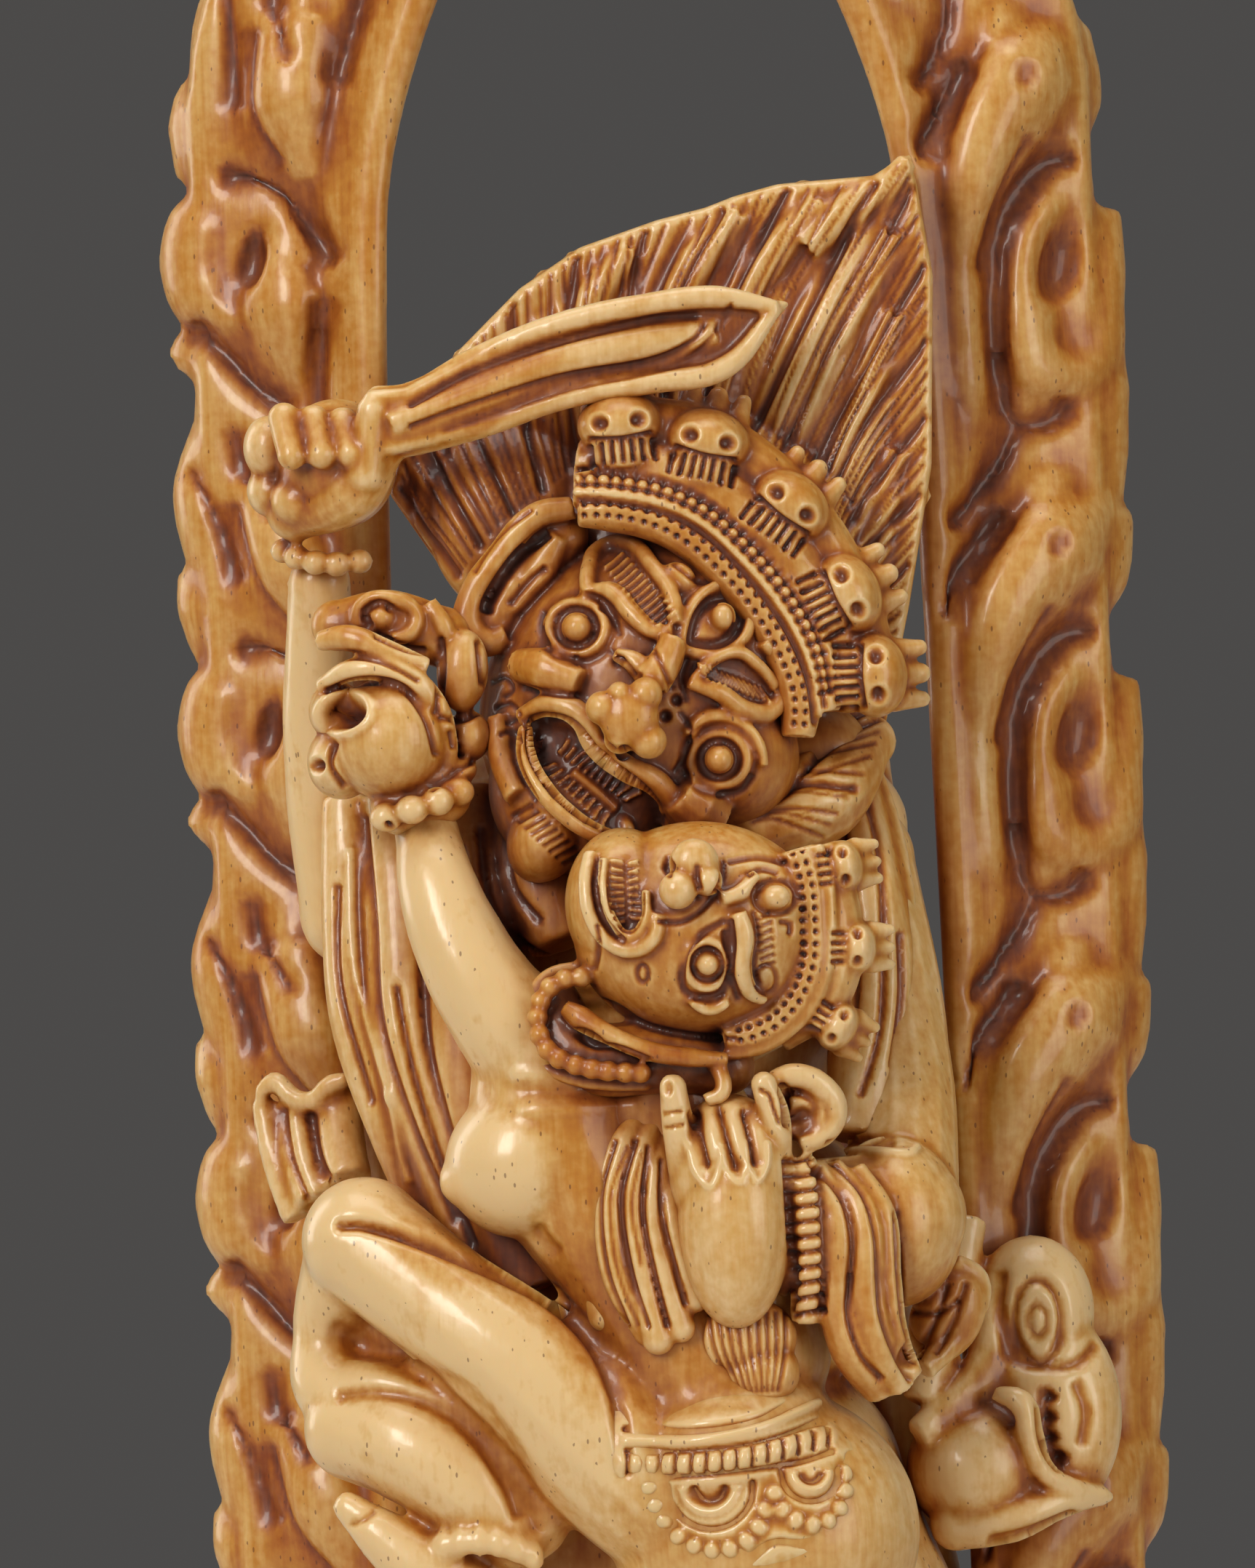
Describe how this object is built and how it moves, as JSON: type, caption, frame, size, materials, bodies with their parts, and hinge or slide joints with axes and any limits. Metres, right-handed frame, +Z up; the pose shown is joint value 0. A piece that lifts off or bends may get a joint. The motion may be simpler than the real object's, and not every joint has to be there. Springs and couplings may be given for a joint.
{
  "type": "bone mahakala statue",
  "caption": "Carved bone statue of a wrathful deity embracing a consort before a pointed arch of flames, on an oval lotus base.",
  "frame": {"origin": "centre of the flat underside of the lotus base", "axes": "+Z up, the figures face -Y, +X to the viewer's right"},
  "size_m": [0.0616, 0.0456, 0.1758],
  "materials": {
    "bone": "polished bone, cream on the high places, with brown stain in the carved lines"
  },
  "bodies": {
    "root": {"mahakala_statue": "bone"}
  },
  "joints": []
}
